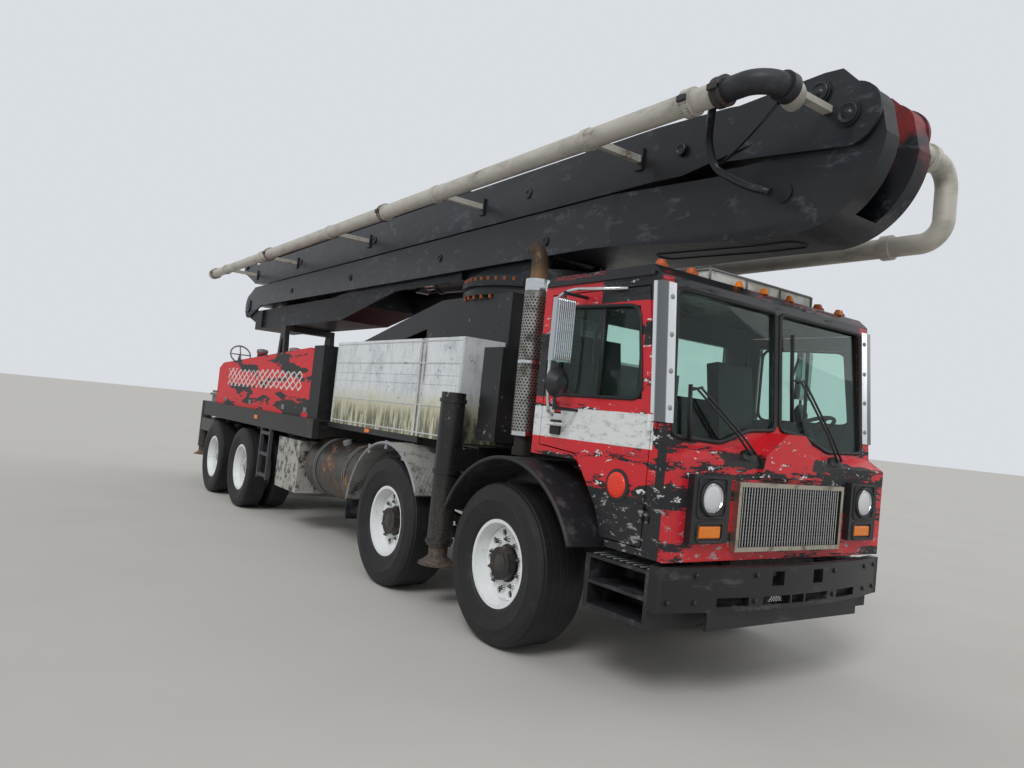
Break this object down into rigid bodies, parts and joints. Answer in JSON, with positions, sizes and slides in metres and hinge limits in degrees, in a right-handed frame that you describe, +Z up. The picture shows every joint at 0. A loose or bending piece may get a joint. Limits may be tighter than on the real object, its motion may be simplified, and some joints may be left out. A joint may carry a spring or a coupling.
{
  "type": "concrete pump truck",
  "caption": "Truck-mounted concrete pump with a folding placing boom stowed along its top, a slewing tower behind the flat-fronted cab, outriggers, side boxes and a rear hopper.",
  "frame": {"origin": "centre of the overall box at ground level", "axes": "-Y towards the cab's front, +Y towards the hopper, +X to the truck's left side, +Z up"},
  "size_m": [2.7498, 12.0785, 4.02],
  "materials": {
    "boom_paint": "satin blue-black",
    "box_sheet": "streaked white",
    "bumper_paint": "scraped",
    "cab_paint": "faded gloss with peeling paint",
    "cab_trim": "matte",
    "cover_paint": "faded with a dark pattern",
    "cylinder_paint": "satin",
    "deck_steel": "worn",
    "engine_iron": "dull",
    "fender_rubber": "matte",
    "frame_steel": "weathered satin",
    "glass": "clear green tint",
    "grille_metal": "satin champagne",
    "hopper_steel": "rusty",
    "lamp_plastic": "gloss",
    "mirror_steel": "satin",
    "pipe_steel": "cream and grey, worn",
    "rod_chrome": "polished",
    "stack_steel": "heat-stained",
    "tank_paint": "worn",
    "tool_box_sheet": "chequer plate",
    "tower_paint": "chipped",
    "tyre": "matte"
  },
  "bodies": {
    "chassis": {"frame_rails": "frame_steel", "engine_block": "engine_iron", "cab_shell": "cab_paint", "cab_glass": "glass", "cab_interior": "cab_trim", "front_bumper": "bumper_paint", "grille": "grille_metal", "lamps": "lamp_plastic", "fenders": "fender_rubber", "exhaust_stack": "stack_steel", "tanks": "tank_paint", "tool_boxes": "tool_box_sheet", "pedestal": "tower_paint", "deck": "deck_steel", "side_boxes": "box_sheet", "rear_covers": "cover_paint", "hopper": "hopper_steel", "delivery_cylinders": "cylinder_paint", "axles": "frame_steel"},
    "door_right": {"door_right": "cab_paint", "door_glass_right": "glass", "mirror_right": "mirror_steel"},
    "door_left": {"door_left": "cab_paint", "door_glass_left": "glass", "mirror_left": "mirror_steel"},
    "knuckle_1_right": {"knuckle_1_right": "frame_steel"},
    "wheel_1_right": {"wheel_1_right": "tyre"},
    "knuckle_1_left": {"knuckle_1_left": "frame_steel"},
    "wheel_1_left": {"wheel_1_left": "tyre"},
    "knuckle_2_right": {"knuckle_2_right": "frame_steel"},
    "wheel_2_right": {"wheel_2_right": "tyre"},
    "knuckle_2_left": {"knuckle_2_left": "frame_steel"},
    "wheel_2_left": {"wheel_2_left": "tyre"},
    "wheel_3_right": {"wheel_3_right": "tyre"},
    "wheel_3_left": {"wheel_3_left": "tyre"},
    "wheel_4_right": {"wheel_4_right": "tyre"},
    "wheel_4_left": {"wheel_4_left": "tyre"},
    "outrigger_front_right": {"outrigger_front_right": "tower_paint"},
    "jack_front_right": {"jack_front_right": "rod_chrome"},
    "outrigger_front_left": {"outrigger_front_left": "tower_paint"},
    "jack_front_left": {"jack_front_left": "rod_chrome"},
    "outrigger_rear_right": {"outrigger_rear_right": "tower_paint"},
    "jack_rear_right": {"jack_rear_right": "rod_chrome"},
    "outrigger_rear_left": {"outrigger_rear_left": "tower_paint"},
    "jack_rear_left": {"jack_rear_left": "rod_chrome"},
    "hopper_grate": {"hopper_grate": "hopper_steel"},
    "agitator": {"agitator": "hopper_steel"},
    "turret": {"turret": "tower_paint"},
    "arm_1": {"arm_1": "boom_paint", "pipe_1": "pipe_steel"},
    "arm_2": {"arm_2": "boom_paint", "pipe_2": "pipe_steel"},
    "arm_3": {"arm_3": "boom_paint", "pipe_3": "pipe_steel"},
    "arm_4": {"arm_4": "boom_paint"},
    "lift_barrel": {"lift_barrel": "cylinder_paint"},
    "lift_rod": {"lift_rod": "rod_chrome"},
    "rod_2": {"rod_2": "rod_chrome"},
    "rod_3": {"rod_3": "rod_chrome"},
    "rod_4": {"rod_4": "rod_chrome"}
  },
  "joints": [
    {"name": "door_right_hinge", "type": "hinge", "parent": "chassis", "child": "door_right", "pos_m": [-1.106, -5.265, 1.6], "axis": [0, 0, 1], "range_deg": [0, 70]},
    {"name": "door_left_hinge", "type": "hinge", "parent": "chassis", "child": "door_left", "pos_m": [1.106, -5.265, 1.6], "axis": [0, 0, -1], "range_deg": [0, 70]},
    {"name": "knuckle_1_right_steer", "type": "hinge", "parent": "chassis", "child": "knuckle_1_right", "pos_m": [-0.8, -4.05, 0.55], "axis": [0, 0, 1], "range_deg": [-30, 30]},
    {"name": "wheel_1_right_spin", "type": "hinge", "parent": "knuckle_1_right", "child": "wheel_1_right", "pos_m": [-1.045, -4.05, 0.55], "axis": [1, 0, 0], "continuous": true},
    {"name": "knuckle_1_left_steer", "type": "hinge", "parent": "chassis", "child": "knuckle_1_left", "pos_m": [0.8, -4.05, 0.55], "axis": [0, 0, 1], "range_deg": [-30, 30]},
    {"name": "wheel_1_left_spin", "type": "hinge", "parent": "knuckle_1_left", "child": "wheel_1_left", "pos_m": [1.045, -4.05, 0.55], "axis": [1, 0, 0], "continuous": true},
    {"name": "knuckle_2_right_steer", "type": "hinge", "parent": "chassis", "child": "knuckle_2_right", "pos_m": [-0.8, -2.339, 0.55], "axis": [0, 0, 1], "range_deg": [-12, 12]},
    {"name": "wheel_2_right_spin", "type": "hinge", "parent": "knuckle_2_right", "child": "wheel_2_right", "pos_m": [-1.045, -2.339, 0.55], "axis": [1, 0, 0], "continuous": true},
    {"name": "knuckle_2_left_steer", "type": "hinge", "parent": "chassis", "child": "knuckle_2_left", "pos_m": [0.8, -2.339, 0.55], "axis": [0, 0, 1], "range_deg": [-12, 12]},
    {"name": "wheel_2_left_spin", "type": "hinge", "parent": "knuckle_2_left", "child": "wheel_2_left", "pos_m": [1.045, -2.339, 0.55], "axis": [1, 0, 0], "continuous": true},
    {"name": "wheel_3_right_spin", "type": "hinge", "parent": "chassis", "child": "wheel_3_right", "pos_m": [-0.93, 2.055, 0.52], "axis": [1, 0, 0], "continuous": true},
    {"name": "wheel_3_left_spin", "type": "hinge", "parent": "chassis", "child": "wheel_3_left", "pos_m": [0.93, 2.055, 0.52], "axis": [1, 0, 0], "continuous": true},
    {"name": "wheel_4_right_spin", "type": "hinge", "parent": "chassis", "child": "wheel_4_right", "pos_m": [-0.93, 3.453, 0.52], "axis": [1, 0, 0], "continuous": true},
    {"name": "wheel_4_left_spin", "type": "hinge", "parent": "chassis", "child": "wheel_4_left", "pos_m": [0.93, 3.453, 0.52], "axis": [1, 0, 0], "continuous": true},
    {"name": "outrigger_front_right_slide", "type": "slide", "parent": "chassis", "child": "outrigger_front_right", "axis": [-1, 0, 0], "range_m": [0, 1.3]},
    {"name": "jack_front_right_slide", "type": "slide", "parent": "outrigger_front_right", "child": "jack_front_right", "axis": [0, 0, -1], "range_m": [0, 0.345]},
    {"name": "outrigger_front_left_slide", "type": "slide", "parent": "chassis", "child": "outrigger_front_left", "axis": [1, 0, 0], "range_m": [0, 1.3]},
    {"name": "jack_front_left_slide", "type": "slide", "parent": "outrigger_front_left", "child": "jack_front_left", "axis": [0, 0, -1], "range_m": [0, 0.345]},
    {"name": "outrigger_rear_right_swing", "type": "hinge", "parent": "chassis", "child": "outrigger_rear_right", "pos_m": [-0.95, 4.25, 0.92], "axis": [0, 0, 1], "range_deg": [0, 90]},
    {"name": "jack_rear_right_slide", "type": "slide", "parent": "outrigger_rear_right", "child": "jack_rear_right", "axis": [0, 0, -1], "range_m": [0, 0.395]},
    {"name": "outrigger_rear_left_swing", "type": "hinge", "parent": "chassis", "child": "outrigger_rear_left", "pos_m": [0.95, 4.25, 0.92], "axis": [0, 0, -1], "range_deg": [0, 90]},
    {"name": "jack_rear_left_slide", "type": "slide", "parent": "outrigger_rear_left", "child": "jack_rear_left", "axis": [0, 0, -1], "range_m": [0, 0.395]},
    {"name": "hopper_grate_hinge", "type": "hinge", "parent": "chassis", "child": "hopper_grate", "pos_m": [0, 4.525, 1.465], "axis": [1, 0, 0], "range_deg": [0, 80]},
    {"name": "agitator_spin", "type": "hinge", "parent": "chassis", "child": "agitator", "pos_m": [0, 5.01, 1.01], "axis": [1, 0, 0], "continuous": true},
    {"name": "slewing", "type": "hinge", "parent": "chassis", "child": "turret", "pos_m": [0, -2.45, 2.7], "axis": [0, 0, 1], "range_deg": [-180, 180]},
    {"name": "arm_1_lift", "type": "hinge", "parent": "turret", "child": "arm_1", "pos_m": [0, -3, 3.01], "axis": [1, 0, 0], "range_deg": [0, 88]},
    {"name": "arm_2_fold", "type": "hinge", "parent": "arm_1", "child": "arm_2", "pos_m": [0, 5.25, 3.01], "axis": [-1, 0, 0], "range_deg": [0, 180]},
    {"name": "arm_3_fold", "type": "hinge", "parent": "arm_2", "child": "arm_3", "pos_m": [0, -5.82, 3.5], "axis": [1, 0, 0], "range_deg": [0, 180]},
    {"name": "arm_4_fold", "type": "hinge", "parent": "arm_3", "child": "arm_4", "pos_m": [0, 5.85, 3.8], "axis": [-1, 0, 0], "range_deg": [0, 180]},
    {"name": "lift_barrel_swing", "type": "hinge", "parent": "turret", "child": "lift_barrel", "pos_m": [0, -2.1, 2.93], "axis": [1, 0, 0], "range_deg": [0, 103.91]},
    {"name": "lift_rod_slide", "type": "slide", "parent": "lift_barrel", "child": "lift_rod", "axis": [0, 0.9994, 0.0333], "range_m": [0, 1.08587]},
    {"name": "rod_2_slide", "type": "slide", "parent": "arm_1", "child": "rod_2", "axis": [0, 0.9903, 0.1392], "range_m": [0, 0.6002]},
    {"name": "rod_3_slide", "type": "slide", "parent": "arm_2", "child": "rod_3", "axis": [0, -0.9885, 0.1513], "range_m": [0, 0.6002]},
    {"name": "rod_4_slide", "type": "slide", "parent": "arm_3", "child": "rod_4", "axis": [0, 0.9919, 0.1271], "range_m": [0, 0.5002]}
  ],
  "couplings": [
    {"joint": "knuckle_1_left_steer", "follows": "knuckle_1_right_steer", "ratio": 1},
    {"joint": "knuckle_2_right_steer", "follows": "knuckle_1_right_steer", "ratio": 0.4},
    {"joint": "knuckle_2_left_steer", "follows": "knuckle_1_right_steer", "ratio": 0.4},
    {"joint": "arm_2_fold", "follows": "arm_1_lift", "ratio": 2.0455},
    {"joint": "lift_barrel_swing", "follows": "arm_1_lift", "ratio": 1.1805},
    {"joint": "lift_rod_slide", "follows": "arm_1_lift", "m_per_rad": 0.70686},
    {"joint": "rod_2_slide", "follows": "arm_1_lift", "m_per_rad": 0.39065},
    {"joint": "rod_3_slide", "follows": "arm_3_fold", "m_per_rad": 0.19099},
    {"joint": "rod_4_slide", "follows": "arm_4_fold", "m_per_rad": 0.15915}
  ]
}
